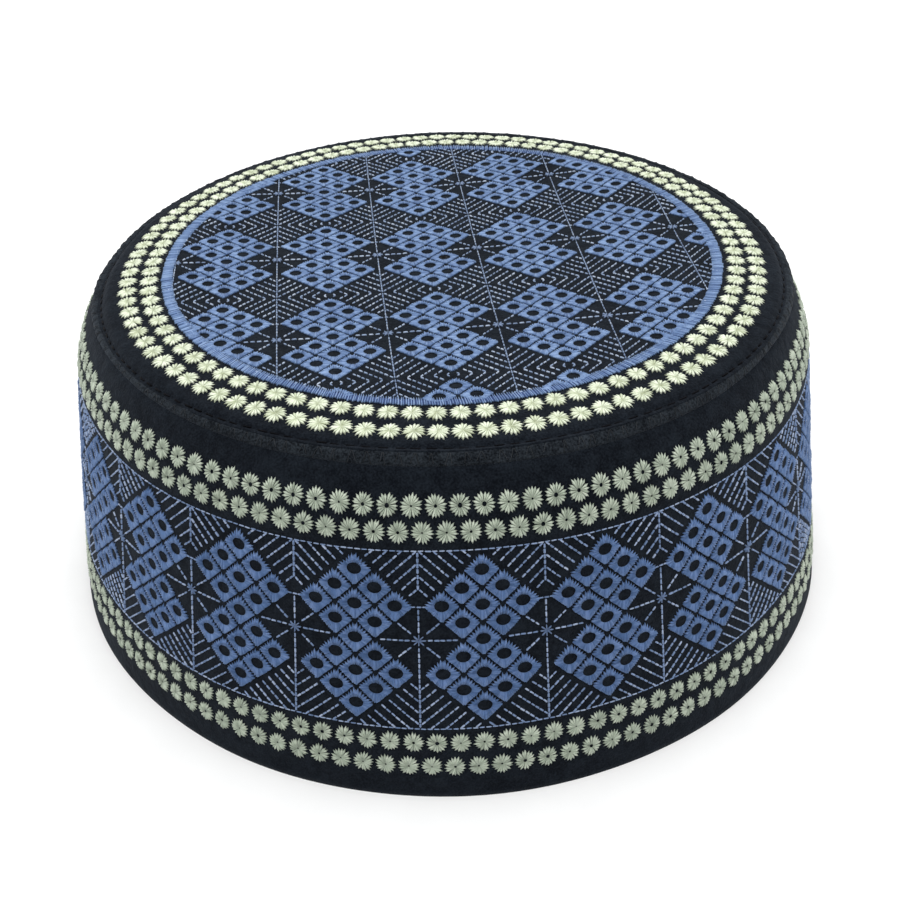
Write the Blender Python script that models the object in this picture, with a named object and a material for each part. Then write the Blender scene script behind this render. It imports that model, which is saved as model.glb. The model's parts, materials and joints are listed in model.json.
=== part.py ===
"""A velvet prayer cap: a flat round crown sewn to a tapering side band, both embroidered.

The cap stands on its rim at height 0, with its front towards -Y and +Z up. Lengths are in metres.
A place on the cloth is given by its turn, an angle from the front towards +X, and either by its
distance from the axis, on the crown, or by its distance up the cloth from the rim, on the side.
"""
import math

import bmesh
import bpy

# Cloth of the side, from the rim up
RIM_RADIUS = 0.0937          # outside of the cloth at the open rim
SHOULDER_RADIUS = 0.0847     # outside of the cloth where the side begins to round over
SHOULDER_HEIGHT = 0.0570     # height of that line
SHOULDER_BEND = 0.0304       # radius of the soft shoulder, seen in section
SHOULDER_LEAN = math.radians(36)   # how far the cloth leans in where the shoulder ends
SEAM_BEND = 0.0033           # radius of the tight turn under the crown's edge
SEAM_ALLOWANCE = 0.0050      # flat strip of side cloth under the crown
BAND_CLOTH = 0.0025          # velvet, backing and lining together
RIM_ROUND = 0.0004           # softened edges of the rim

# Cloth of the crown
CROWN_CLOTH = 0.0016
CROWN_FLAT = 0.0590          # radius of the crown's flat, inside its falling border
CROWN_FALL = 0.0016          # how far the border falls from the flat to the crown's edge
CROWN_EDGE_ROUND = 0.0008    # where the topstitch pulls the crown's edge down
CROWN_TUCK = 0.0003          # how far the crown reaches out past the start of the flat strip

# Rolled edge outside the topstitch
ROLL_WIDTH = 0.0032
ROLL_THICKNESS = 0.0014
ROLL_LEAN = math.radians(62)       # lean of the cloth under the roll's middle

# Embroidery, from the rim up and from the crown's edge in
GAP = 0.0003                 # clearance between pieces that touch
STITCH_RISE = 0.0007         # how far the daisies stand out of the pile
LATTICE_RISE = 0.0005        # the same for the flatter blue work
DAISY_SPAN = 0.0043          # across one daisy, so the width of a row
HEM_MARGIN = 0.0060          # plain cloth under the lowest row
LOWER_ROW_SPACE = 0.0013     # between the two rows under the frieze
FRIEZE_MARGIN_BELOW = 0.0015
FRIEZE_HEIGHT = 0.0395
FRIEZE_MARGIN_ABOVE = 0.0021
UPPER_ROW_SPACE = 0.0008     # between the two rows over the frieze
CROWN_MARGIN = 0.0035        # plain cloth between the crown's edge and its outer row
CROWN_ROW_SPACE = 0.0008
RING_MARGIN = 0.0006
RING_WIDTH = 0.0024
MEDALLION_MARGIN = 0.0005

# Lattice of the frieze: a motif is two big diamonds of nine tiles that share the middle tile
FRIEZE_REPEATS = 22
FRIEZE_START = math.radians(-53.4)   # turn of one upright line between two motifs
REPEAT_TILES = 6.3           # width of a repeat, in half widths of a tile
HEIGHT_TILES = 10.5          # height of the frieze, in half heights of a tile
TILE_ROWS = (1, 2, 3, 2, 1, 2, 3, 2, 1)
LINK_SHARE = 0.24            # height of the link between two motifs, as a share of a half tile

# Plan of the cap: a little longer one way than the other at the rim, and round at the crown
OVAL_SHARE = 0.0176
OVAL_TURN = math.radians(15)
ROUND_HEIGHT = 0.0620        # height from which the plan is round

SEGMENTS = 64
SHOULDER_STEPS = 4
SEAM_STEPS = 3
ROLL_STEPS = 6


def clear_scene():
    """Removes what the new file starts with."""
    for old in list(bpy.data.objects):
        bpy.data.objects.remove(old, do_unlink=True)


def material(name, colour, roughness):
    """One finish of the cap."""
    made = bpy.data.materials.new(name)
    made.use_nodes = True
    shader = made.node_tree.nodes["Principled BSDF"]
    shader.inputs["Base Color"].default_value = (*colour, 1.0)
    shader.inputs["Roughness"].default_value = roughness
    shader.inputs["Metallic"].default_value = 0.0
    return made


def oval(turn, height):
    """How much longer the cap's radius is at that turn and height than its mean radius."""
    share = OVAL_SHARE * max(1.0 - height / ROUND_HEIGHT, 0.0)
    return 1.0 + share * math.cos(2.0 * (turn - OVAL_TURN))


def place(turn, radius, height):
    """The point of the cap at that turn, mean radius and height."""
    reach = radius * oval(turn, height)
    return (reach * math.sin(turn), -reach * math.cos(turn), height)


def taper():
    """Lean of the straight part of the side."""
    return math.atan2(RIM_RADIUS - SHOULDER_RADIUS, SHOULDER_HEIGHT)


def taper_length():
    """Length of the straight part of the side, up the cloth."""
    return math.hypot(RIM_RADIUS - SHOULDER_RADIUS, SHOULDER_HEIGHT)


def bend(start, lean_from, lean, radius):
    """Where an arc that starts at that point with one lean has come to at another lean."""
    inward = radius * (math.cos(lean_from) - math.cos(lean))
    upward = radius * (math.sin(lean) - math.sin(lean_from))
    return (start[0] - inward, start[1] + upward)


def section_point(lean):
    """Point of the side's outer section where the cloth has that lean, past the straight part."""
    start = (SHOULDER_RADIUS, SHOULDER_HEIGHT)
    soft = min(lean, SHOULDER_LEAN)
    point = bend(start, taper(), soft, SHOULDER_BEND)
    if lean > SHOULDER_LEAN:
        point = bend(point, SHOULDER_LEAN, lean, SEAM_BEND)
    return point


def side_at(distance):
    """(radius, height, lean) of the outer cloth at that distance up from the rim."""
    straight = taper_length()
    if distance <= straight:
        share = distance / straight
        radius = RIM_RADIUS + share * (SHOULDER_RADIUS - RIM_RADIUS)
        return (radius, share * SHOULDER_HEIGHT, taper())
    lean = taper() + (distance - straight) / SHOULDER_BEND
    return (*section_point(lean), lean)


def off_side(distance, rise):
    """Section point that stands that far off the outer cloth of the side."""
    radius, height, lean = side_at(distance)
    return (radius + rise * math.cos(lean), height + rise * math.sin(lean))


def crown_radius():
    """Radius of the crown panel, which ends inside the roll."""
    return section_point(math.pi / 2)[0] + CROWN_TUCK


def crown_height(radius):
    """Height of the crown's upper face at that distance from the axis."""
    seat = section_point(math.pi / 2)[1]
    share = max(radius - CROWN_FLAT, 0.0) / (crown_radius() - CROWN_FLAT)
    return seat + GAP + CROWN_CLOTH + CROWN_FALL * (1.0 - share * share)


def off_crown(radius, rise):
    """Section point that stands that far off the crown's upper face."""
    return (radius, crown_height(radius) + rise)


def finish(name, shape, finish_material):
    """Turns a bmesh into a named, smooth-shaded object."""
    mesh = bpy.data.meshes.new(name)
    shape.to_mesh(mesh)
    shape.free()
    made = bpy.data.objects.new(name, mesh)
    bpy.context.scene.collection.objects.link(made)
    mesh.materials.append(finish_material)
    mesh.shade_smooth()
    mesh.set_sharp_from_angle(angle=math.radians(40))
    return made


def turned(name, outline, finish_material, closed=True):
    """Spins an outline of (radius, height) points into a solid, then gives it the oval plan."""
    shape = bmesh.new()
    corners = [shape.verts.new((radius, 0.0, height)) for radius, height in outline]
    pairs = list(zip(corners, corners[1:]))
    if closed:
        pairs.append((corners[-1], corners[0]))
    edges = [shape.edges.new(pair) for pair in pairs]
    bmesh.ops.spin(
        shape,
        geom=corners + edges,
        cent=(0.0, 0.0, 0.0),
        axis=(0.0, 0.0, 1.0),
        angle=2.0 * math.pi,
        steps=SEGMENTS,
    )
    bmesh.ops.remove_doubles(shape, verts=shape.verts[:], dist=1e-6)
    bmesh.ops.recalc_face_normals(shape, faces=shape.faces[:])
    for vert in shape.verts:
        turn = math.atan2(vert.co.x, -vert.co.y)
        radius = math.hypot(vert.co.x, vert.co.y)
        vert.co = place(turn, radius, vert.co.z)
    return finish(name, shape, finish_material)


def side_section():
    """(radius, height, lean) down the outer cloth of the side, from its flat strip to the rim."""
    top = section_point(math.pi / 2)
    points = [(top[0] - SEAM_ALLOWANCE, top[1], math.pi / 2)]
    for step in range(SEAM_STEPS):
        lean = math.pi / 2 + (SHOULDER_LEAN - math.pi / 2) * step / SEAM_STEPS
        points.append((*section_point(lean), lean))
    for step in range(SHOULDER_STEPS + 1):
        lean = SHOULDER_LEAN + (taper() - SHOULDER_LEAN) * step / SHOULDER_STEPS
        points.append((*section_point(lean), lean))
    points.append(side_at(RIM_ROUND))
    return points


def side_band(velvet):
    """The side of the cap: one wall from the flat rim up over the shoulder to the crown's seam."""
    outer = side_section()
    wall = [(radius, height) for radius, height, lean in outer]
    lining = []
    for radius, height, lean in reversed(outer):
        inward = BAND_CLOTH * math.cos(lean)
        downward = BAND_CLOTH * math.sin(lean)
        lining.append((radius - inward, max(height - downward, RIM_ROUND)))
    rim_inner = RIM_RADIUS - BAND_CLOTH / math.cos(taper())
    rim = [(RIM_RADIUS - RIM_ROUND, 0.0), (rim_inner + RIM_ROUND, 0.0)]
    return turned("side_band", wall + rim + lining, velvet)


def crown_panel(velvet):
    """The round top: flat, with a border that falls to the side's flat strip inside the roll."""
    edge = crown_radius()
    seat = section_point(math.pi / 2)[1] + GAP
    halfway = (CROWN_FLAT + edge) / 2
    outline = [(radius, crown_height(radius)) for radius in (0.0, CROWN_FLAT, halfway)]
    outline.append((edge - CROWN_EDGE_ROUND, crown_height(edge - CROWN_EDGE_ROUND)))
    outline.append((edge, crown_height(edge) - CROWN_EDGE_ROUND))
    outline.append((edge, seat))
    outline.append((CROWN_FLAT, crown_height(0.0) - CROWN_CLOTH))
    outline.append((0.0, crown_height(0.0) - CROWN_CLOTH))
    return turned("crown_panel", outline, velvet, closed=False)


def seam_roll(velvet):
    """The crown's rolled and overcast edge, which lies on the shoulder outside the topstitch."""
    radius, height = section_point(ROLL_LEAN)
    away = GAP + ROLL_THICKNESS / 2
    middle = (radius + away * math.cos(ROLL_LEAN), height + away * math.sin(ROLL_LEAN))
    outline = []
    for step in range(ROLL_STEPS):
        angle = 2.0 * math.pi * (step + 0.5) / ROLL_STEPS
        along = ROLL_WIDTH / 2 * math.cos(angle)
        out = ROLL_THICKNESS / 2 * math.sin(angle)
        outline.append((
            middle[0] - along * math.sin(ROLL_LEAN) + out * math.cos(ROLL_LEAN),
            middle[1] + along * math.cos(ROLL_LEAN) + out * math.sin(ROLL_LEAN),
        ))
    return turned("seam_roll", outline, velvet)


def stitched_strip(name, near, far, raised, rise, thread):
    """A low raised strip of embroidery between two distances, a gap off the cloth it is sewn to."""
    middle = (near + far) / 2
    outline = [
        raised(near, GAP),
        raised(far, GAP),
        raised(far, GAP + rise / 2),
        raised(middle, GAP + rise),
        raised(near, GAP + rise / 2),
    ]
    return turned(name, outline, thread)


def side_places():
    """Lower edges, up the cloth from the rim, of what is embroidered on the side."""
    order = (
        ("hem_daisies", HEM_MARGIN, DAISY_SPAN),
        ("lower_daisies", LOWER_ROW_SPACE, DAISY_SPAN),
        ("side_frieze", FRIEZE_MARGIN_BELOW, FRIEZE_HEIGHT),
        ("upper_daisies", FRIEZE_MARGIN_ABOVE, DAISY_SPAN),
        ("shoulder_daisies", UPPER_ROW_SPACE, DAISY_SPAN),
    )
    places = {}
    reached = 0.0
    for name, space, height in order:
        places[name] = reached + space
        reached += space + height
    return places


def side_daisies(cream):
    """The four rows of daisies round the side."""
    for name, start in side_places().items():
        if name.endswith("daisies"):
            stitched_strip(name, start, start + DAISY_SPAN, off_side, STITCH_RISE, cream)


def tile_corners(column, row, linked):
    """Corners of one tile, in half tiles from the motif's middle; a linked side has a blunt end."""
    right = (column + 1, row)
    left = (column - 1, row)
    corners = [(column, row - 1), right, (column, row + 1), left]
    if not linked:
        return corners
    end = 1 if column > 0 else 3
    reach = column + (1 if column > 0 else -1)
    order = (-1, 1) if column > 0 else (1, -1)
    blunt = [(reach, row + side * LINK_SHARE / 2) for side in order]
    return corners[:end] + blunt + corners[end + 1:]


def motif_tiles():
    """Corner lists of the tiles of one motif and of the two links to the next one."""
    tiles = []
    for index, count in enumerate(TILE_ROWS):
        row = len(TILE_ROWS) // 2 - index
        for place_in_row in range(count):
            column = 2 * place_in_row - (count - 1)
            linked = count == max(TILE_ROWS) and abs(column) == count - 1
            tiles.append(tile_corners(column, row, linked))
    reach = max(TILE_ROWS)
    for index, count in enumerate(TILE_ROWS):
        if count != reach:
            continue
        row = len(TILE_ROWS) // 2 - index
        low = row - LINK_SHARE / 2
        high = row + LINK_SHARE / 2
        far = REPEAT_TILES - reach
        tiles.append([(reach, low), (far, low), (far, high), (reach, high)])
    return tiles


def side_frieze(blue):
    """The blue lattice round the side: motifs of tiles, each linked to the next."""
    start = side_places()["side_frieze"]
    middle = start + FRIEZE_HEIGHT / 2
    half_tile = FRIEZE_HEIGHT / HEIGHT_TILES
    repeat_turn = 2.0 * math.pi / FRIEZE_REPEATS
    shape = bmesh.new()
    for repeat in range(FRIEZE_REPEATS):
        motif_turn = FRIEZE_START + (repeat + 0.5) * repeat_turn
        for corners in motif_tiles():
            verts = []
            for column, row in corners:
                turn = motif_turn + column * repeat_turn / REPEAT_TILES
                radius, height = off_side(middle + row * half_tile, GAP)
                verts.append(shape.verts.new(place(turn, radius, height)))
            shape.faces.new(verts)
    bmesh.ops.remove_doubles(shape, verts=shape.verts[:], dist=1e-6)
    made = finish("side_frieze", shape, blue)
    wall = made.modifiers.new("thread", "SOLIDIFY")
    wall.thickness = LATTICE_RISE
    wall.offset = 1.0
    return made


def crown_embroidery(cream, blue):
    """The two rows of daisies, the satin ring and the medallion, from the crown's edge in."""
    order = (
        ("crown_daisies_outer", CROWN_MARGIN, DAISY_SPAN, STITCH_RISE, cream),
        ("crown_daisies_inner", CROWN_ROW_SPACE, DAISY_SPAN, STITCH_RISE, cream),
        ("crown_ring", RING_MARGIN, RING_WIDTH, STITCH_RISE, blue),
    )
    reached = crown_radius()
    for name, space, width, rise, thread in order:
        outer = reached - space
        reached = outer - width
        stitched_strip(name, reached, outer, off_crown, rise, thread)
    edge = reached - MEDALLION_MARGIN
    outline = [
        off_crown(0.0, GAP + LATTICE_RISE),
        off_crown(edge, GAP + LATTICE_RISE),
        off_crown(edge, GAP),
        off_crown(0.0, GAP),
    ]
    turned("crown_medallion", outline, blue, closed=False)


def build_cap():
    """Makes every piece of the cap."""
    velvet = material("black_velvet", (0.012, 0.013, 0.017), 0.95)
    cream = material("cream_thread", (0.72, 0.76, 0.52), 0.6)
    blue = material("blue_thread", (0.13, 0.22, 0.50), 0.5)
    side_band(velvet)
    crown_panel(velvet)
    seam_roll(velvet)
    side_daisies(cream)
    side_frieze(blue)
    crown_embroidery(cream, blue)


clear_scene()
build_cap()
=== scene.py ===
# %% [markdown]
# # A velvet prayer cap, stitch by stitch
#
# The cap is a stiff pillbox of black velvet. A flat round crown is sewn to a side band that widens
# towards the rim, and the seam between them is rolled over the shoulder. Nearly all that one sees is
# machine embroidery: rings of cream daisies, and a lattice of blue tiles, stars and herringbone.
#
# The lesson follows the maker's order: first the cloth, then the sewn edge, then the embroidery.
# Every stitch is a small solid, so light catches it as it catches real thread.

# %% Load the frame
import json
import math
import random

import bmesh
import bpy
from mathutils import Matrix, Vector, noise

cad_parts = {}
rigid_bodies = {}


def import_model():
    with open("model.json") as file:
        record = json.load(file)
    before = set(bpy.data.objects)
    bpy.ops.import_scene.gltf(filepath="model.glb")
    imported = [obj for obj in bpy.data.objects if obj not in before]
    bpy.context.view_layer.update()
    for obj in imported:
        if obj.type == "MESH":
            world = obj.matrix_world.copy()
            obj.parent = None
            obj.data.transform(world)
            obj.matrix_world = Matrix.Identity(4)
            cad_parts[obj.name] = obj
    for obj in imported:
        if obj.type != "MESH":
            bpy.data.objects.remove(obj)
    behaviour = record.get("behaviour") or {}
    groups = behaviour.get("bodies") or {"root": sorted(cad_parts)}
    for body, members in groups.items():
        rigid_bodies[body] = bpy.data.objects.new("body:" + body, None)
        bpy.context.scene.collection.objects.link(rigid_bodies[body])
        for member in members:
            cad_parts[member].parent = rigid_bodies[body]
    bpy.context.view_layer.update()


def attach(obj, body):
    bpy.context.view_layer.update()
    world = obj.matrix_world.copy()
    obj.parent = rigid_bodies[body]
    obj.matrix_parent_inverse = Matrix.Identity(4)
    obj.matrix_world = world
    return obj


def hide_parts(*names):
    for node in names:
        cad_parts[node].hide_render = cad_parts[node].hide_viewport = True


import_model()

# %% [markdown]
# ## Sizes
#
# A cap maker works from a few sizes: the radius at the rim and at the shoulder, the height, and the
# place of each embroidered ring. They are named once here, in metres. A place on the side is given by
# a turn, an angle from the front towards +X, and by a distance up the cloth from the rim, because that
# is how a tape measure lies on it. A place on the crown is given by a turn and a distance from its
# middle.

# %% Named sizes
RIM_RADIUS = 0.0937
SHOULDER_RADIUS = 0.0847
SHOULDER_HEIGHT = 0.0570
SHOULDER_BEND = 0.0304
SHOULDER_LEAN = math.radians(35.6)
SEAM_BEND = 0.0033
SEAM_ALLOWANCE = 0.0050
BAND_CLOTH = 0.0025
CROWN_CLOTH = 0.0016
CROWN_TUCK = 0.0003
GROOVE_RADIUS = 0.0765
GROOVE_DEPTH = 0.00040
GROOVE_WIDTH = 0.00065

SIDE_ROWS = {"hem": 0.00818, "lower": 0.01377, "upper": 0.06124, "shoulder": 0.06632}
FRIEZE_LOW = 0.01746
FRIEZE_HIGH = 0.05746
STAR_ROW = 0.03800
CROWN_ROWS = {"outer": 0.07137, "inner": 0.06628, "ring": 0.06235}
RING_WIDTH = 0.0024

# %% [markdown]
# ## Where the cloth lies
#
# Cloth is never a perfect cone. The rim is a little longer one way than the other, the top is nearly
# round, and the crown dips in its middle and slopes by a degree. All of that is in a few short
# formulas, so that the velvet and every stitch on it can ask the same functions for their place and
# stay together.
#
# The plan is a circle with three waves on it. Each wave has a share for the front and one for the
# flank, and each share has its size at the rim and its change up to the shoulder.

# %% The plan of the cap
CAP_MIDDLE = 0.00084
SLOPE_FROM = 0.040
SLOPE_OVER = 0.033
TOP_SLOPE = (0.0029, 0.00145)
PLAN_WAVES = (
    (1, (0.00065, 0.00040), (-0.01108, 0.00364)),
    (2, (0.01519, -0.01618), (0.00893, -0.00795)),
    (3, (-0.00379, 0.00189), (-0.00380, 0.00342)),
)


def plan(turn, height):
    """The cap's radius at that turn and height, as a share of its mean radius."""
    up = height / SHOULDER_HEIGHT
    share = 1.0
    for waves, front, flank in PLAN_WAVES:
        share += (front[0] + front[1] * up) * math.cos(waves * turn)
        share += (flank[0] + flank[1] * up) * math.sin(waves * turn)
    return share


def slope(x, y, height):
    """How much higher the cap stands there than on average: its top slopes, its rim doesn't."""
    share = min(max((height - SLOPE_FROM) / SLOPE_OVER, 0.0), 1.0)
    return share * (TOP_SLOPE[0] * x + TOP_SLOPE[1] * y)


def around(turn, radius, height):
    """The point of the cap at that turn, mean radius and height."""
    reach = radius * plan(turn, height)
    x, y = reach * math.sin(turn), -reach * math.cos(turn)
    return Vector((x + CAP_MIDDLE, y, height + slope(x, y, height)))


# %% Places on the side
WAVERS = ((0.00013, 5, 2.1, 2.0), (0.00008, 11, 0.4, 4.0))


def straight_lean():
    """Lean of the straight part of the side."""
    return math.atan2(RIM_RADIUS - SHOULDER_RADIUS, SHOULDER_HEIGHT)


def straight_length():
    """Length of the straight part of the side, up the cloth."""
    return math.hypot(RIM_RADIUS - SHOULDER_RADIUS, SHOULDER_HEIGHT)


def bend(start, lean_from, lean, radius):
    """Where an arc that starts at that point with one lean has come to at another lean."""
    inward = radius * (math.cos(lean_from) - math.cos(lean))
    upward = radius * (math.sin(lean) - math.sin(lean_from))
    return (start[0] - inward, start[1] + upward)


def section_point(lean):
    """Point of the side's section where the cloth has that lean, past the straight part."""
    soft = min(lean, SHOULDER_LEAN)
    point = bend((SHOULDER_RADIUS, SHOULDER_HEIGHT), straight_lean(), soft, SHOULDER_BEND)
    if lean > SHOULDER_LEAN:
        point = bend(point, SHOULDER_LEAN, lean, SEAM_BEND)
    return point


def side_at(distance):
    """(radius, height, lean) of the cloth at that distance up from the rim."""
    straight = straight_length()
    if distance <= straight:
        share = distance / straight
        radius = RIM_RADIUS + share * (SHOULDER_RADIUS - RIM_RADIUS)
        return (radius, share * SHOULDER_HEIGHT, straight_lean())
    lean = straight_lean() + (distance - straight) / SHOULDER_BEND
    if lean > SHOULDER_LEAN:
        soft_length = (SHOULDER_LEAN - straight_lean()) * SHOULDER_BEND
        lean = SHOULDER_LEAN + (distance - straight - soft_length) / SEAM_BEND
        lean = min(lean, math.pi / 2)
    return (*section_point(lean), lean)


def waver(turn, distance):
    """How far the wall stands out there; a waver is (depth, waves round, start, twist up the wall)."""
    up = distance / straight_length()
    return sum(
        depth * math.sin(waves * turn + start + twist * up)
        for depth, waves, start, twist in WAVERS
    )


def side_place(turn, distance, rise=0.0):
    """The point that stands that far off the velvet of the side."""
    radius, height, lean = side_at(distance)
    off = rise + waver(turn, distance)
    return around(turn, radius + off * math.cos(lean), height + rise * math.sin(lean))


def off_side(turn, lean):
    """Direction straight off cloth of that lean."""
    return Vector((math.cos(lean) * math.sin(turn), -math.cos(lean) * math.cos(turn), math.sin(lean)))


SEAM_DISTANCE = straight_length() + (SHOULDER_LEAN - straight_lean()) * SHOULDER_BEND
print(f"The cloth is {SEAM_DISTANCE * 1000:.1f} mm from the rim to the roll")

# %% Places on the crown
SEAT_HEIGHT = section_point(math.pi / 2)[1]
CROWN_RADIUS = section_point(math.pi / 2)[0] + CROWN_TUCK
OFF_CROWN = Vector((0, 0, 1))
CROWN_LEVEL = 0.073
CROWN_TOP = 0.00398
CROWN_DIP = 0.00093
BORDER_FALL = (0.058, 0.017, 0.0016)
EDGE_FALL = (0.0752, 0.0018, 0.0005)
SWELL = 0.00012
SWELL_SCALE = 55
GROOVE_WAVES = (0.0004, 0.0006)


def groove_radius(turn):
    """Mean distance from the middle to the topstitched groove, sewn further in at the front."""
    once, twice = GROOVE_WAVES
    return GROOVE_RADIUS - once * math.cos(turn) - twice * math.cos(2 * turn)


def fallen(reach, fall):
    """How far the crown has fallen at that reach; a fall is (where it starts, over what, how deep)."""
    start, width, depth = fall
    return depth * (max(reach - start, 0.0) / width) ** 2


def crown_height(x, y):
    """Height of the crown's velvet: a dip in the middle, and a border that falls to the seam."""
    reach = math.hypot(x, y)
    dip = CROWN_DIP * (1.0 - (reach / CROWN_RADIUS) ** 2)
    border = fallen(reach, BORDER_FALL)
    pulled = fallen(reach, EDGE_FALL)
    swell = SWELL * noise.noise(Vector((x * SWELL_SCALE, y * SWELL_SCALE, 3.0)))
    groove = 0.0
    if reach > CROWN_ROWS["outer"]:
        turn = math.atan2(x, -y)
        off = reach / plan(turn, SEAT_HEIGHT) - groove_radius(turn)
        groove = GROOVE_DEPTH * math.exp(-(off / GROOVE_WIDTH) ** 2)
    return SEAT_HEIGHT + CROWN_TOP - dip - border - pulled - groove + swell


def crown_place(x, y, rise=0.0):
    """The point that stands that far off the velvet of the crown."""
    height = crown_height(x, y) + slope(x, y, CROWN_LEVEL)
    return Vector((x + CAP_MIDDLE, y, height + rise))


def crown_ring_place(turn, radius, rise=0.0):
    """The same, for a place given by its turn and mean distance from the middle."""
    reach = radius * plan(turn, SEAT_HEIGHT)
    return crown_place(reach * math.sin(turn), -reach * math.cos(turn), rise)


print(f"The crown is {CROWN_RADIUS * 1000:.1f} mm in radius, on a seat {SEAT_HEIGHT * 1000:.1f} mm up")

# %% [markdown]
# ## How the cloth moved under the needle
#
# Cloth creeps in its hoop while it is sewn, so no ring is spaced quite evenly and the lattice is a
# little warped. Each ring has its own slow sway, along the ring and up the cloth, which is a steady
# part and two waves round the cap. The frieze also fans out with height, and the medallion has one
# smooth pull each way. The coefficients were fitted to where the motifs lie in the photograph.

# %% Sway and pull
PULL_REACH = 0.06


def sway(turn, waves):
    """A slow change round the cap; the waves are in thousandths of a metre or of a radian."""
    steady, cosine, sine, twice_cosine, twice_sine = waves
    slow = steady + cosine * math.cos(turn) + sine * math.sin(turn)
    return (slow + twice_cosine * math.cos(2 * turn) + twice_sine * math.sin(2 * turn)) / 1000


def pull(x, y, terms):
    """A smooth shift of the medallion's chart at a place of the crown, in metres."""
    u, v = x / PULL_REACH, y / PULL_REACH
    powers = (1.0, u, v, u * u, u * v, v * v, u ** 3, u * u * v, u * v * v, v ** 3)
    return sum(term * power for term, power in zip(terms, powers)) / 1000


RING_SWAY = {
    "hem": ((5.298, 2.017, -0.472, -6.767, 3.210), (-0.210, -0.400, -0.103, 0.102, -0.104)),
    "lower": ((4.484, 1.811, -0.490, -5.829, 2.620), (-0.266, -0.278, -0.293, 0.234, 0.062)),
    "upper": ((-1.615, 0.478, -2.584, 2.835, 2.000), (-0.028, -0.042, 0.776, -0.193, -0.372)),
    "shoulder": ((1.121, 0.599, 1.269, -0.689, -0.325), (-0.027, -0.035, 0.460, -0.120, -0.179)),
    "outer": ((7.808, -4.291, 17.095, 0.388, -7.537), (0.234, -0.545, 0.064, 0.406, -0.051)),
    "inner": ((7.095, -5.432, 26.355, -2.383, -3.036), (0.346, -0.891, 0.206, 0.129, -0.245)),
    "ring": ((0.0, 0.0, 0.0, 0.0, 0.0), (0.175, -0.350, 0.0, 0.175, 0.0)),
}
FRIEZE_SWAY = ((1.857, 0.033, -3.809, -4.522, -1.798), (-0.233, -0.262, 0.032, 0.034, 0.010))
FRIEZE_FAN = ((0.095, 0.911, 1.465, 0.0, 0.0), (0.119, 0.022, 0.055, 0.0, 0.0))
CROWN_PULL = (
    (0.061, -0.037, 0.104, 0.270, -0.367, 0.306, 0.400, 0.136, -0.279, 0.006),
    (-1.328, 0.763, -0.837, 2.449, 1.327, -0.620, -0.183, 2.846, 0.910, 0.023),
)
print("Sway of each ring at the front, up the cloth or outwards:")
for ring, waves in RING_SWAY.items():
    print(f"    {ring}: {sway(0.0, waves[1]) * 1000:+.2f} mm")

# %% [markdown]
# ## Small helpers
#
# Shader and geometry trees are built by hand below. These helpers add a node, find a socket by its
# name, and join two sockets, so that each finish reads as a short recipe.

# %% Helpers for node trees
def add_node(tree, kind, **settings):
    """A new node with those settings."""
    made = tree.nodes.new(kind)
    for name, value in settings.items():
        setattr(made, name, value)
    return made


def socket(sockets, name):
    """The socket in use that has that name."""
    return next(s for s in sockets if s.name == name and s.enabled)


def feed(tree, node, name, value):
    """Gives a node's input a plain value, or joins it to another node's output."""
    target = socket(node.inputs, name)
    if isinstance(value, bpy.types.NodeSocket):
        tree.links.new(value, target)
    else:
        target.default_value = value


def recipe(name):
    """A new material, its tree and its Principled shader."""
    made = bpy.data.materials.new(name)
    made.use_nodes = True
    return made, made.node_tree, made.node_tree.nodes["Principled BSDF"]


def speckle(tree, coords, scale, detail=3.0):
    """Noise on those coordinates, from 0 to 1."""
    made = add_node(tree, "ShaderNodeTexNoise")
    tree.links.new(coords, made.inputs["Vector"])
    made.inputs["Scale"].default_value = scale
    made.inputs["Detail"].default_value = detail
    return made.outputs["Fac"]


def shades(tree, driver, stops):
    """A colour ramp read by that value; stops are (place, colour)."""
    ramp = add_node(tree, "ShaderNodeValToRGB")
    tree.links.new(driver, ramp.inputs["Fac"])
    band = ramp.color_ramp
    while len(band.elements) < len(stops):
        band.elements.new(0.5)
    for element, (place_on_ramp, colour) in zip(band.elements, stops):
        element.position = place_on_ramp
        element.color = (*colour, 1.0)
    return ramp.outputs["Color"]


def sums(tree, operation, first, second):
    """One step of arithmetic on two values or sockets."""
    made = add_node(tree, "ShaderNodeMath", operation=operation)
    for target, value in zip(made.inputs, (first, second)):
        if isinstance(value, bpy.types.NodeSocket):
            tree.links.new(value, target)
        else:
            target.default_value = value
    return made.outputs["Value"]


def blend_of(tree, parts):
    """The sum of several values, each times its share; parts are (value, share)."""
    total = sums(tree, "MULTIPLY", *parts[0])
    for value, share in parts[1:]:
        total = sums(tree, "ADD", total, sums(tree, "MULTIPLY", value, share))
    return total


def bumps(tree, shader, height, strength, depth, before=None):
    """A bump layer of that depth in metres, on top of an earlier one."""
    made = add_node(tree, "ShaderNodeBump")
    made.inputs["Strength"].default_value = strength
    made.inputs["Distance"].default_value = depth
    tree.links.new(height, made.inputs["Height"])
    if before is not None:
        tree.links.new(before, made.inputs["Normal"])
    tree.links.new(made.outputs["Normal"], shader.inputs["Normal"])
    return made.outputs["Normal"]


# %% [markdown]
# ## Velvet
#
# Velvet is a forest of short upright threads. It looks deep black face on and greyer where one looks
# along the cloth, because the tips of the pile catch the light. A nearly black base with a little
# sheen gives that. The pile also lies this way and that in patches of one or two millimetres, so noise
# moves the colour and the bump, and a fine grain stands for the tips of the pile.

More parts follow.
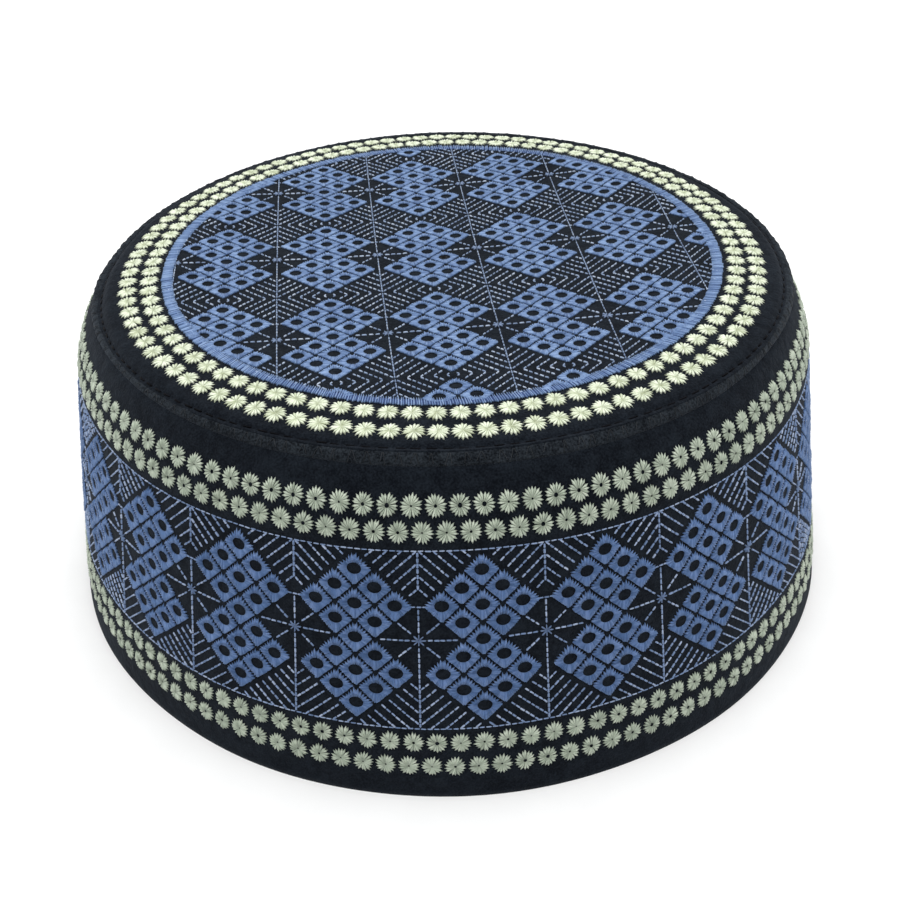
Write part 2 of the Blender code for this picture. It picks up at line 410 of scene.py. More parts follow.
# %% Velvet and lining
def velvet_finish(name, dark, light, sheen):
    """Short black pile, brushed unevenly."""
    made, tree, shader = recipe(name)
    coords = add_node(tree, "ShaderNodeTexCoord").outputs["Object"]
    patches = speckle(tree, coords, 420.0, 4.0)
    grain = speckle(tree, coords, 2600.0, 2.0)
    slow = speckle(tree, coords, 70.0, 2.0)
    mixed = blend_of(tree, ((patches, 0.32), (grain, 0.52), (slow, 0.16)))
    feed(tree, shader, "Base Color", shades(tree, mixed, ((0.40, dark), (0.62, light))))
    feed(tree, shader, "Roughness", 0.95)
    feed(tree, shader, "Specular IOR Level", 0.04)
    feed(tree, shader, "Sheen Weight", sheen)
    feed(tree, shader, "Sheen Roughness", 0.5)
    feed(tree, shader, "Sheen Tint", (0.75, 0.85, 1.0, 1.0))
    layer = bumps(tree, shader, patches, 0.7, 0.0005)
    bumps(tree, shader, grain, 0.7, 0.00018, layer)
    return made


def lining_finish():
    """Plain black cotton, in a fine twill."""
    made, tree, shader = recipe("black_lining")
    coords = add_node(tree, "ShaderNodeTexCoord").outputs["UV"]
    twill = add_node(tree, "ShaderNodeTexWave", wave_type="BANDS", bands_direction="DIAGONAL")
    tree.links.new(coords, twill.inputs["Vector"])
    twill.inputs["Scale"].default_value = 900.0
    wear = speckle(tree, coords, 120.0)
    stops = ((0.3, (0.010, 0.010, 0.012)), (0.75, (0.022, 0.022, 0.026)))
    feed(tree, shader, "Base Color", shades(tree, wear, stops))
    feed(tree, shader, "Roughness", 0.85)
    feed(tree, shader, "Sheen Weight", 0.15)
    bumps(tree, shader, twill.outputs["Fac"], 0.5, 0.0001)
    return made


VELVET = velvet_finish("black_velvet", (0.0023, 0.0033, 0.0054), (0.0100, 0.0134, 0.0186), 0.055)
# The roll's velvet is a lighter copy of the same cloth: painted highlight where its crest faces the
# overhead light.
SEAM_VELVET_PAINTED_HIGHLIGHT = velvet_finish("seam_velvet", (0.0026, 0.0036, 0.0052), (0.0240, 0.0300, 0.0370), 0.085)
LINING = lining_finish()
print("Cloth finishes:", VELVET.name, SEAM_VELVET_PAINTED_HIGHLIGHT.name, LINING.name)

# %% [markdown]
# ## Thread
#
# The embroidery is shiny rayon thread. One stitch is never quite the colour of the next: its twist
# turns it to or from the light. Each stitch carries two numbers, tone for itself and lot for its
# motif, and the finish reads them to shift the colour. Fine slanting lines along the stitch are its
# twist. The thread of the side is a darker copy of the crown's: painted shade, because the side gets
# less of the overhead light than the crown.

# %% Thread finishes
def thread_finish(name, deep, body, bright, root=0.0, shine=0.35):
    """Shiny embroidery thread; tone and lot pick a stitch's shade; root paints shade on its start."""
    made, tree, shader = recipe(name)
    tone = add_node(tree, "ShaderNodeAttribute", attribute_name="tone").outputs["Fac"]
    lot = add_node(tree, "ShaderNodeAttribute", attribute_name="lot").outputs["Fac"]
    coords = add_node(tree, "ShaderNodeTexCoord")
    grain = speckle(tree, coords.outputs["Object"], 900.0, 2.0)
    mixed = blend_of(tree, ((tone, 0.56), (lot, 0.16), (grain, 0.28)))
    # Painted shade: each stitch is darker near its root, where the petals meet round the daisy's
    # pinhole.
    if root:
        along = add_node(tree, "ShaderNodeSeparateXYZ")
        tree.links.new(coords.outputs["UV"], along.inputs["Vector"])
        painted_root_shade = sums(tree, "SUBTRACT", 1.0, sums(tree, "MINIMUM", along.outputs["Y"], 1.0))
        mixed = sums(tree, "SUBTRACT", mixed, sums(tree, "MULTIPLY", painted_root_shade, root))
    stops = ((0.05, deep), (0.5, body), (0.92, bright))
    feed(tree, shader, "Base Color", shades(tree, mixed, stops))
    feed(tree, shader, "Roughness", 0.45)
    feed(tree, shader, "Specular IOR Level", shine)
    feed(tree, shader, "Sheen Weight", shine / 3)
    feed(tree, shader, "Sheen Roughness", 0.4)
    twist = add_node(tree, "ShaderNodeTexWave", wave_type="BANDS", bands_direction="DIAGONAL")
    tree.links.new(coords.outputs["UV"], twist.inputs["Vector"])
    twist.inputs["Scale"].default_value = 2.2
    bumps(tree, shader, twist.outputs["Fac"], 0.35, 0.00006)
    return made


# Each thread has a lit copy for the crown and a darker copy for the side; the side's darker copy is
# painted shade, since less of the overhead light falls on the side.
CREAM_TOP_LIT = thread_finish(
    "cream_thread_crown_lit", (0.42, 0.47, 0.30), (0.70, 0.76, 0.59), (0.84, 0.89, 0.74), 0.40
)
CREAM_SIDE_SHADED = thread_finish(
    "cream_thread_side_painted_shade", (0.28, 0.33, 0.26), (0.455, 0.52, 0.42), (0.60, 0.66, 0.55), 0.12
)
BLUE_TOP_LIT = thread_finish(
    "blue_thread_crown_lit", (0.07, 0.13, 0.28), (0.139, 0.231, 0.43), (0.26, 0.38, 0.60)
)
BLUE_SIDE_SHADED = thread_finish(
    "blue_thread_side_painted_shade", (0.05, 0.108, 0.24), (0.103, 0.19, 0.39), (0.19, 0.29, 0.53)
)
# The running stitches' thread: the blue thread painted paler, as a painted highlight.
BLUE_PAINTED_HIGHLIGHT_TOP = thread_finish(
    "blue_thread_painted_highlight_crown", (0.13, 0.19, 0.33), (0.28, 0.37, 0.54), (0.55, 0.62, 0.74)
)
BLUE_PAINTED_HIGHLIGHT_SIDE = thread_finish(
    "blue_thread_painted_highlight_side", (0.10, 0.17, 0.32), (0.24, 0.33, 0.53), (0.50, 0.58, 0.74)
)
GREY = thread_finish(
    "grey_thread", (0.007, 0.009, 0.011), (0.016, 0.019, 0.023), (0.034, 0.040, 0.047), 0.0, 0.15
)
PADDING = thread_finish(
    "navy_padding", (0.03, 0.05, 0.13), (0.05, 0.085, 0.20), (0.07, 0.12, 0.26), 0.0, 0.03
)
BLACK = thread_finish(
    "black_thread", (0.001, 0.001, 0.002), (0.002, 0.002, 0.003), (0.006, 0.006, 0.008), 0.0, 0.03
)
print("Finishes so far:", len(bpy.data.materials))

# %% [markdown]
# ## The velvet band and the crown
#
# The band is one wall: up the outside, over the shoulder, along the strip that the crown is sewn to,
# and down again inside as the lining. A turned form like this could come from the Screw modifier. Here
# a grid is laid over the place functions instead, so that the oval and the waver come with it.

# %% Turned cloth
TURN_STEPS = 320
TURNS = [2 * math.pi * step / TURN_STEPS for step in range(TURN_STEPS)]
UV_ROUND = 0.58
UV_STRIP = 0.0015


def grid_piece(name, rings, materials, finish_of_ring):
    """A closed cloth from rings of points; finish_of_ring gives the material of a strip."""
    mesh = bpy.data.meshes.new(name)
    count = len(rings[0])
    faces = []
    finishes = []
    for row in range(len(rings)):
        here = row * count
        below = (row + 1) % len(rings) * count
        for step in range(count):
            after = (step + 1) % count
            faces.append((here + step, below + step, below + after, here + after))
            finishes.append(finish_of_ring(row))
    mesh.from_pydata([point for ring in rings for point in ring], [], faces)
    mesh.polygons.foreach_set("material_index", finishes)
    uv = mesh.uv_layers.new(name="UVMap")
    for face in mesh.polygons:
        for corner in face.loop_indices:
            row, step = divmod(mesh.loops[corner].vertex_index, count)
            uv.data[corner].uv = (step / count * UV_ROUND, row * UV_STRIP)
    for finish in materials:
        mesh.materials.append(finish)
    mesh.shade_smooth()
    made = bpy.data.objects.new(name, mesh)
    bpy.context.scene.collection.objects.link(made)
    tidy_normals(made.data)
    return made


def tidy_normals(mesh):
    """Turns every face of a closed mesh outwards."""
    shape = bmesh.new()
    shape.from_mesh(mesh)
    bmesh.ops.remove_doubles(shape, verts=shape.verts[:], dist=1e-6)
    bmesh.ops.recalc_face_normals(shape, faces=shape.faces[:])
    shape.to_mesh(mesh)
    shape.free()


def seat(piece, slot, *nodes):
    """The piece rides on the cap and stands for those solids, which it hides; slot is not used."""
    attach(piece, "root")
    if nodes:
        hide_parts(*nodes)
    print(f"{piece.name}: {len(piece.data.polygons)} faces")


# %% The band
VELVET_ROWS = 70
LINING_ROWS = 40


def lining_place(turn, distance):
    """The inner side of the wall, one cloth's thickness in."""
    radius, height, lean = side_at(distance)
    inner = radius - BAND_CLOTH * math.cos(lean) + waver(turn, distance)
    return around(turn, inner, max(height - BAND_CLOTH * math.sin(lean), 0.0))


def strip_place(turn, inward, drop):
    """A place on the flat strip under the crown, that far in from its start."""
    return around(turn, section_point(math.pi / 2)[0] - inward, SEAT_HEIGHT - drop)


def make_band():
    """The side band, from the flat strip down the outside, round the rim and up the lining."""
    top = SEAM_DISTANCE + (math.pi / 2 - SHOULDER_LEAN) * SEAM_BEND
    outside = [top * (1 - step / VELVET_ROWS) for step in range(VELVET_ROWS + 1)]
    rings = [[strip_place(turn, SEAM_ALLOWANCE, 0.0) for turn in TURNS]]
    rings += [[side_place(turn, distance) for turn in TURNS] for distance in outside]
    velvet_rings = len(rings)
    inside = [top * step / LINING_ROWS for step in range(LINING_ROWS + 1)]
    rings += [[lining_place(turn, distance) for turn in TURNS] for distance in inside]
    rings.append([strip_place(turn, SEAM_ALLOWANCE, BAND_CLOTH) for turn in TURNS])
    finishes = (VELVET, LINING)
    return grid_piece("velvet_band", rings, finishes, lambda row: 0 if row < velvet_rings else 1)


seat(make_band(), "velvet", "side_band")


# %% [markdown]
# The crown is a disc of the same cloth. The topstitch pulls a groove into it near its edge, so the
# rings of points lie close together there and follow the groove.

# %% The crown panel
TOP_SHARES = [0.01] + [step / 50 for step in range(1, 48)]
EDGE_OFFSETS = (
    -0.0022, -0.0014, -0.0010, -0.0007, -0.0004, -0.0002, 0.0, 0.0002, 0.0004, 0.0007, 0.0010
)
UNDERSIDE_SHARES = (0.85, 0.7, 0.3, 0.01)


def make_crown():
    """The crown: rings from the middle out, over the groove and the edge, and back underneath."""
    rings = [[crown_ring_place(turn, CROWN_RADIUS * share) for turn in TURNS] for share in TOP_SHARES]
    for off in EDGE_OFFSETS:
        rings.append([crown_ring_place(turn, groove_radius(turn) + off) for turn in TURNS])
    velvet_rings = len(rings)
    rings.append([crown_ring_place(turn, groove_radius(turn) + off, -CROWN_CLOTH) for turn in TURNS])
    for share in UNDERSIDE_SHARES:
        rings.append([crown_ring_place(turn, CROWN_RADIUS * share, -CROWN_CLOTH) for turn in TURNS])
    finishes = (VELVET, LINING)
    return grid_piece("velvet_crown", rings, finishes, lambda row: 0 if row < velvet_rings else 1)


seat(make_crown(), "velvet", "crown_panel")


# %% [markdown]
# ## The rolled edge
#
# Outside the topstitch the crown's edge is rolled over the shoulder and overcast. The roll is low and
# soft. Its section is a bend drawn from three points: beside the groove, over the crest and on the
# shoulder. It is flat at the front, where it has been handled most, and fuller towards the back. Noise
# along the turn makes it a little lumpy, as the thread does that pulls it in.

# %% The roll
ROLL_STEPS = 900
ROLL_SHARES = [step / 10 for step in range(11)]
ROLL_BACK = (0.8, 0.5, 0.2)
ROLL_BACK_DEPTH = 0.0006
ROLL_FLAT_COSINE = 0.6
ROLL_FILLS_OVER = 0.65
ROLL_START = 0.0006
ROLL_SUNK = 0.00005
FLAT_CREST = (0.68, 0.12)
FULL_CREST = (1.06, -0.36)
FLAT_END = 0.0017
FULL_END = -0.0011
ROLL_LUMPS = 0.00012
LUMP_SCALE = 40
FINE_LUMP_SCALE = 110
FINE_LUMP_SHARE = 0.4


def part_way(flat, full, fullness):
    """The value between the flat roll's and the full roll's."""
    return flat + (full - flat) * fullness


def roll_lump(turn, share):
    """How lumpy the roll is there, from a slow noise and a fine one."""
    slow = noise.noise(Vector((turn * LUMP_SCALE, 0.4, 7.0)))
    fine = noise.noise(Vector((turn * FINE_LUMP_SCALE, 2.0, share)))
    return slow + FINE_LUMP_SHARE * fine


def roll_place(turn, share, rise=0.0):
    """A point over the roll's skin: share 0 is beside the groove, share 1 on the shoulder."""
    fullness = min(max((ROLL_FLAT_COSINE - math.cos(turn)) / ROLL_FILLS_OVER, 0.0), 1.0)
    fullness *= fullness * (3.0 - 2.0 * fullness)
    start = crown_ring_place(turn, groove_radius(turn) + ROLL_START, -ROLL_SUNK)
    end_distance = SEAM_DISTANCE + FLAT_END + (FULL_END - FLAT_END) * fullness
    end = side_place(turn, end_distance, -ROLL_SUNK)
    crest = start.lerp(end, part_way(FLAT_CREST[0], FULL_CREST[0], fullness))
    crest.z = start.z + (end.z - start.z) * part_way(FLAT_CREST[1], FULL_CREST[1], fullness)
    point = start.lerp(crest, share).lerp(crest.lerp(end, share), share)
    way = (crest - start).lerp(end - crest, share)
    out = way.cross(Vector((math.cos(turn), math.sin(turn), 0.0))).normalized()
    lump = roll_lump(turn, share)
    return point + out * (rise + ROLL_LUMPS * lump * math.sin(math.pi * share))


def make_roll():
    """The roll as a ring: its skin, and a hidden back inside the cloth."""
    turns = [2 * math.pi * step / ROLL_STEPS for step in range(ROLL_STEPS)]
    rings = [[roll_place(turn, share) for turn in turns] for share in ROLL_SHARES]
    rings += [[roll_place(turn, share, -ROLL_BACK_DEPTH) for turn in turns] for share in ROLL_BACK]
    return grid_piece("rolled_edge", rings, (SEAM_VELVET_PAINTED_HIGHLIGHT,), lambda row: 0)


seat(make_roll(), "seam_velvet", "seam_roll")


# %% [markdown]
# ## One stitch
#
# Every stitch is a little bar of thread with a ridge along its back: low where it enters the cloth and
# full in its middle. Three forms are enough. A pointed one makes petals and ragged edges, a blunt one
# makes even edges, and a running stitch tapers at both ends. Each has fewer than a dozen faces, because
# it is sewn on many thousand times.

# %% The three forms of stitch
POINTED, BLUNT, RUNNING = range(3)
TIP_HEIGHT = 0.05
NEXT_SIDE = ((0, 1), (1, 2), (2, 0))


def stitch_form(name, stations, tail):
    """A closed stitch along X, one long; a station is (x, half width, low, high)."""
    points = []
    for x, half, low, high in stations:
        points += [(x, -half, low), (x, 0.0, high), (x, half, low)]
    tip = len(points)
    points.append((1.0, 0.0, TIP_HEIGHT))
    faces = []
    for row in range(len(stations) - 1):
        near, far = row * 3, row * 3 + 3
        faces += [(near + side, far + side, far + after, near + after) for side, after in NEXT_SIDE]
    faces += [(tip - 3 + side, tip, tip - 3 + after) for side, after in NEXT_SIDE]
    if tail:
        points.append((0.0, 0.0, TIP_HEIGHT))
        faces += [(side, after, tip + 1) for side, after in NEXT_SIDE]
    else:
        faces.append((0, 1, 2))
    mesh = bpy.data.meshes.new(name)
    mesh.from_pydata(points, [], faces)
    layer = mesh.uv_layers.new(name="UVMap")
    widest = max(half for x, half, low, high in stations)
    for loop in mesh.loops:
        x, y, z = points[loop.vertex_index]
        layer.data[loop.index].uv = (0.5 + 0.5 * y / widest, 3.0 * x)
    mesh.shade_smooth()
    tidy_normals(mesh)
    return bpy.data.objects.new(name, mesh)


STITCHES = bpy.data.collections.new("stitches")
bpy.context.scene.collection.children.link(STITCHES)
STITCHES.hide_render = True
STITCH_FORMS = (
    ("stitch_0_pointed", ((0.0, 0.13, 0.30, 0.70), (0.64, 0.5, 0.40, 1.0)), False),
    ("stitch_1_blunt", ((0.0, 0.28, 0.10, 0.70), (0.91, 0.5, 0.20, 1.0)), False),
    ("stitch_2_running", ((0.17, 0.44, 0.0, 0.9), (0.83, 0.44, 0.0, 0.9)), True),
)
for form_name, form_stations, has_tail in STITCH_FORMS:
    form_made = stitch_form(form_name, form_stations, has_tail)
    STITCHES.objects.link(form_made)
    print(f"{form_name}: {len(form_made.data.polygons)} faces")


# %% [markdown]
# ## The sewing machine
#
# One Geometry Nodes tree does all the sewing but the overcast. It gets a cloud of points. Each point
# knows how its stitch lies (aim), how long, wide and high it is (size), its form (kind) and its shade
# (tone and lot). The tree puts that form on each point, turns and stretches it a little at random,
# makes the copies real and gives them their thread.

# %% The sewing tree
def sewing_tree():
    """The tree that sews one stitch on each point."""
    tree = bpy.data.node_groups.new("Sew a stitch on each point", "GeometryNodeTree")
    inputs = (
        ("Points", "NodeSocketGeometry"),
        ("Stitches", "NodeSocketCollection"),
        ("Unevenness", "NodeSocketFloat"),
        ("Size change", "NodeSocketFloat"),
        ("Seed", "NodeSocketInt"),
        ("Thread", "NodeSocketMaterial"),
    )
    for name, kind in inputs:
        tree.interface.new_socket(name, in_out="INPUT", socket_type=kind)
    tree.interface.new_socket("Geometry", in_out="OUTPUT", socket_type="NodeSocketGeometry")
    given = add_node(tree, "NodeGroupInput").outputs
    result = add_node(tree, "NodeGroupOutput")

    box = add_node(tree, "GeometryNodeCollectionInfo")
    feed(tree, box, "Collection", given["Stitches"])
    feed(tree, box, "Separate Children", True)
    feed(tree, box, "Reset Children", True)

    def carried(name, data_type):
        """A number that each point carries."""
        found = add_node(tree, "GeometryNodeInputNamedAttribute", data_type=data_type)
        feed(tree, found, "Name", name)
        return socket(found.outputs, "Attribute")

    wobble = add_node(tree, "FunctionNodeRandomValue", data_type="FLOAT_VECTOR")
    feed(tree, wobble, "Min", sums(tree, "MULTIPLY", given["Unevenness"], -1.0))
    feed(tree, wobble, "Max", given["Unevenness"])
    feed(tree, wobble, "Seed", given["Seed"])
    turned = add_node(tree, "ShaderNodeVectorMath", operation="ADD")
    tree.links.new(carried("aim", "FLOAT_VECTOR"), turned.inputs[0])
    tree.links.new(socket(wobble.outputs, "Value"), turned.inputs[1])
    rotation = add_node(tree, "FunctionNodeEulerToRotation")
    feed(tree, rotation, "Euler", turned.outputs["Vector"])

    growth = add_node(tree, "FunctionNodeRandomValue", data_type="FLOAT")
    feed(tree, growth, "Min", sums(tree, "SUBTRACT", 1.0, given["Size change"]))
    feed(tree, growth, "Max", sums(tree, "ADD", 1.0, given["Size change"]))
    feed(tree, growth, "Seed", sums(tree, "ADD", given["Seed"], 7.0))
    grown = add_node(tree, "ShaderNodeVectorMath", operation="SCALE")
    tree.links.new(carried("size", "FLOAT_VECTOR"), grown.inputs[0])
    feed(tree, grown, "Scale", socket(growth.outputs, "Value"))

    sewn = add_node(tree, "GeometryNodeInstanceOnPoints")
    feed(tree, sewn, "Points", given["Points"])
    feed(tree, sewn, "Instance", box.outputs["Instances"])
    feed(tree, sewn, "Pick Instance", True)
    feed(tree, sewn, "Instance Index", carried("kind", "INT"))
    feed(tree, sewn, "Rotation", rotation.outputs["Rotation"])
    feed(tree, sewn, "Scale", grown.outputs["Vector"])
    real = add_node(tree, "GeometryNodeRealizeInstances")
    feed(tree, real, "Geometry", sewn.outputs["Instances"])
    coloured = add_node(tree, "GeometryNodeSetMaterial")
    feed(tree, coloured, "Geometry", real.outputs["Geometry"])
    feed(tree, coloured, "Material", given["Thread"])
    tree.links.new(coloured.outputs["Geometry"], result.inputs["Geometry"])
    return tree


SEWING = sewing_tree()
print("The sewing tree has", len(SEWING.nodes), "nodes")


# %% Sewing a piece
STITCH_SUNK = 0.00005


def stitch(start, end, normal, width, height, kind, tone, lot):
    """One stitch from a point of the cloth to another: its place, aim, size, form and shade."""
    along = (end - start).normalized()
    across = normal.cross(along).normalized()
    up = along.cross(across)
    aim = Matrix((along, across, up)).transposed().to_euler()
    return (start - up * STITCH_SUNK, aim, ((end - start).length, width, height), kind, tone, lot)


def sew(name, places, thread, seed, unevenness=0.03, size_change=0.03):
    """Sews a stitch on each place and returns the finished piece."""
    points, aims, sizes, kinds, tones, lots = zip(*places)
    mesh = bpy.data.meshes.new(name + "_points")
    mesh.from_pydata(points, [], [])
    for label, values in (("aim", aims), ("size", sizes)):
        spread = [number for value in values for number in value]
        mesh.attributes.new(label, "FLOAT_VECTOR", "POINT").data.foreach_set("vector", spread)
    mesh.attributes.new("kind", "INT", "POINT").data.foreach_set("value", kinds)
    for label, values in (("tone", tones), ("lot", lots)):
        mesh.attributes.new(label, "FLOAT", "POINT").data.foreach_set("value", values)
    host = bpy.data.objects.new(name + "_points", mesh)
    bpy.context.scene.collection.objects.link(host)
    machine = host.modifiers.new("sewing", "NODES")
    machine.node_group = SEWING
    values = {
        "Stitches": STITCHES,
        "Unevenness": unevenness,
        "Size change": size_change,
        "Seed": seed,
        "Thread": thread,
    }
    for item in SEWING.interface.items_tree:
        if item.in_out == "INPUT" and item.name in values:
            machine[item.identifier] = values[item.name]
    evaluated = host.evaluated_get(bpy.context.evaluated_depsgraph_get())
    sewn = bpy.data.meshes.new_from_object(evaluated)
    sewn.name = name
    host.modifiers.clear()
    bpy.data.objects.remove(host)
    for label in ("aim", "size", "kind"):
        sewn.attributes.remove(sewn.attributes[label])
    piece = bpy.data.objects.new(name, sewn)
    bpy.context.scene.collection.objects.link(piece)
    return piece


# %% [markdown]
# ## Rings of daisies
#
# There are six rings, each with its own count and start. The counts carry the spacing that shows at
# the front on round the back. A daisy is a wheel of pointed stitches round a pinhole, which a small
# knot fills on the crown. Petals lie close beside each other inside and part at their tips.

# %% One daisy
SIDE_DAISY = (0.00450, 0.0050, 18, 0.00060)
CROWN_DAISY = (0.0050, 0.0050, 16, 0.00074)
SIDE_PINHOLE = 0.16
CROWN_PINHOLE = 0.08
DAISY_RISE = 0.00048
KNOT = 0.0006


def daisy(to_cloth, normal, form, hole, dice):
    """The petals of one daisy; to_cloth gives the point of the cloth at an offset from its middle."""
    width, height, petals, petal_width = form
    lot = dice.random()
    first = dice.uniform(0.0, math.pi)
    pinhole = hole * dice.uniform(0.5, 1.2)
    made = []
    for petal in range(petals):
        angle = first + 2 * math.pi * (petal + dice.uniform(-0.16, 0.16)) / petals
        across = width / 2 * math.cos(angle)
        up = height / 2 * math.sin(angle)
        reach = dice.uniform(0.93, 1.06)
        start = to_cloth(across * pinhole, up * pinhole)
        end = to_cloth(across * reach, up * reach)
        rise = DAISY_RISE * dice.uniform(0.9, 1.1)
        made.append(stitch(start, end, normal, petal_width, rise, POINTED, dice.random(), lot))
    return made


# %% Rings on the side and on the crown
def side_daisies(name, row, count, first_turn, seed):
    """One ring of daisies round the side."""
    dice = random.Random(seed)
    radius, height, lean = side_at(SIDE_ROWS[row])
    places = []
    for index in range(count):
        even = math.radians(first_turn) + 2 * math.pi * index / count
        turn = even + sway(even, RING_SWAY[row][0])
        distance = SIDE_ROWS[row] + sway(even, RING_SWAY[row][1])

        def to_cloth(across, up):
            return side_place(turn + across / radius, distance + up)

        places += daisy(to_cloth, off_side(turn, lean), SIDE_DAISY, SIDE_PINHOLE, dice)
    return sew(name, places, CREAM_SIDE_SHADED, seed)


def crown_daisies(name, row, count, first_turn, seed):
    """One ring of daisies on the crown."""
    dice = random.Random(seed)
    places = []
    for index in range(count):
        even = math.radians(first_turn) + 2 * math.pi * index / count
        turn = even + sway(even, RING_SWAY[row][0])
        radius = CROWN_ROWS[row] + sway(even, RING_SWAY[row][1])

        def to_cloth(across, up):
            return crown_ring_place(turn + across / radius, radius + up)

        places += daisy(to_cloth, OFF_CROWN, CROWN_DAISY, CROWN_PINHOLE, dice)
        # The knot takes the thread's darkest tone and lot: painted shade in the pinhole.
        knot = (to_cloth(-KNOT / 2, 0.0), to_cloth(KNOT / 2, 0.0))
        places.append(stitch(*knot, OFF_CROWN, KNOT, DAISY_RISE * 0.9, RUNNING, 0.0, 0.0))
    return sew(name, places, CREAM_TOP_LIT, seed)


DAISY_RINGS = (
    (side_daisies, "daisies_at_hem", "hem", 125, -26.19, "hem_daisies"),
    (side_daisies, "daisies_under_frieze", "lower", 123, -31.71, "lower_daisies"),
    (side_daisies, "daisies_over_frieze", "upper", 116, -28.59, "upper_daisies"),
    (side_daisies, "daisies_on_shoulder", "shoulder", 114, -30.40, "shoulder_daisies"),
    (crown_daisies, "daisies_outer_crown", "outer", 97, -35.13, "crown_daisies_outer"),
    (crown_daisies, "daisies_inner_crown", "inner", 90, -13.85, "crown_daisies_inner"),
)
for ring_seed, (embroider, *ring, node) in enumerate(DAISY_RINGS, 1):
    seat(embroider(*ring, ring_seed), "cream_thread", node)


# %% [markdown]
# ## The lattice
#
# The same pattern fills the medallion and the frieze. It is charted in half tiles from the middle of a
# motif. A motif is two big diamonds of nine tiles that share the middle one. Between two motifs lies a
# black diamond with a star of running stitches, and above and below it a herringbone.

# %% The chart of one repeat
REPEAT_TILES = 6.3
HEIGHT_TILES = 10.5
TILE_ROWS = (1, 2, 3, 2, 1, 2, 3, 2, 1)
STAR_COLUMN = REPEAT_TILES / 2
FIRST_CHEVRON = 3.02
CHEVRON_STEP = 0.717
CHEVRONS = 8
CHEVRON_FEET = 2.1
SHORTEST_CHEVRON = 0.12
SPINE_GAP = 0.06
SPINE_START = FIRST_CHEVRON - 0.1


def chart_tiles():
    """(column, row) of the middle of each tile of one motif."""
    middles = []
    for index, count in enumerate(TILE_ROWS):
        row = len(TILE_ROWS) // 2 - index
        middles += [(2 * place_in_row - (count - 1), row) for place_in_row in range(count)]
    return middles


def star_lines():
    """Rays of the star and the short thread that links two motifs, as chart lines."""
    lines = [
        ((0.0, 0.42), (0.0, 1.85), "ray"),
        ((0.0, -0.42), (0.0, -SPINE_START), "ray"),
        ((-0.38, 1.95), (0.45, 1.95), "bridge"),
    ]
    for side in (-1, 1):
        lines.append(((0.42 * side, 0.0), (1.92 * side, 0.0), "ray"))
        for rise in (-1, 1):
            lines.append(((0.36 * side, 0.38 * rise), (1.04 * side, 1.02 * rise), "ray"))
    for index in range(8):
        angle = index * math.pi / 4
        lines.append(((0.0, 0.0), (0.37 * math.cos(angle), 0.37 * math.sin(angle)), "heart"))
    return lines


def herringbone_lines(top, flip):
    """Chevrons over or under the star up to the row top, and the upright line, as chart lines."""
    lines = [((0.0, SPINE_START * flip), (0.0, (top - 0.05) * flip), "spine")]
    for index in range(CHEVRONS):
        peak = FIRST_CHEVRON + CHEVRON_STEP * index
        far = (peak - CHEVRON_FEET) / 2
        near = max(SPINE_GAP, peak - top)
        if far - near > SHORTEST_CHEVRON:
            for side in (-1, 1):
                inner = (near * side, (peak - near) * flip)
                outer = (far * side, (peak - far) * flip)
                lines.append((inner, outer, "chevron"))
    return lines


STAR_CHART = star_lines()
print(len(chart_tiles()), "tiles and", len(STAR_CHART), "lines of the star in one repeat")

# %% [markdown]
# A chart line becomes a row of running stitches, which nearly touch each other. Each kind of line has
# its own stitch: fine in the chevrons and rays, heavier along the spine, and a few crossed threads in
# the heart of the star. Their thread is the blue thread painted paler, a painted highlight for the
# light that thin thread throws back. Spine and heart keep less of that painted highlight, so they
# stay in the bluer shades of the same thread.

# %% From chart lines to stitches
LINE_STITCHES = {
    "ray": (0.00125, 0.00051, 0.00038),
    "chevron": (0.00122, 0.00052, 0.00038),
    "spine": (0.00110, 0.00060, 0.00042),
    "heart": (0.00200, 0.00034, 0.00048),
    "bridge": (0.00110, 0.00042, 0.00036),
    "border": (0.00130, 0.00040, 0.00030),
}
# How much of the painted highlight each kind of line keeps; spine and heart stay bluer.
PAINTED_HIGHLIGHT_SHARE = {"spine": 0.55, "heart": 0.2}
CROWN_LINE_WIDTH = 0.84
SHORTEST = 0.0003


def between(start, end, share):
    """The chart place that far along a line."""
    return (start[0] + (end[0] - start[0]) * share, start[1] + (end[1] - start[1]) * share)


def line_stitches(start, end, kind, to_cloth, normal, dice, thread=(1.0, 0.01)):
    """The running stitches along one chart line; thread is (share of width, gap at each end)."""
    pitch, width, height = LINE_STITCHES[kind]
    width_share, gap = thread
    highlight_share = PAINTED_HIGHLIGHT_SHARE.get(kind, 1.0)
    length = (to_cloth(*end) - to_cloth(*start)).length
    count = max(1, round(length / pitch))
    lot = dice.random() * highlight_share
    made = []
    for index in range(count):
        here = to_cloth(*between(start, end, (index + gap) / count))
        there = to_cloth(*between(start, end, (index + 1.0 - gap) / count))
        tone = dice.random() * highlight_share
        made.append(stitch(here, there, normal, width * width_share, height, RUNNING, tone, lot))
    return made


# %% [markdown]
# ### A blue tile
#
# One tile of the lattice is a diamond of satin stitches that fan out from an eyelet. Their ends are
# ragged along the two upper edges and even along the lower ones, and the corners left and right are
# blunt.

# %% Tiles
RAGGED_STITCHES = 13
EVEN_STITCHES = 10
TILE_REACH = 0.95
TEETH = (0.87, 1.06)
BLUNT_CORNER = 0.07
EYELET = (0.37, 0.34)
CORNERS = ((1, 0), (0, 1), (-1, 0), (0, -1), (1, 0))
TILE_RISE = 0.0005
SATIN_FULLNESS = 1.55


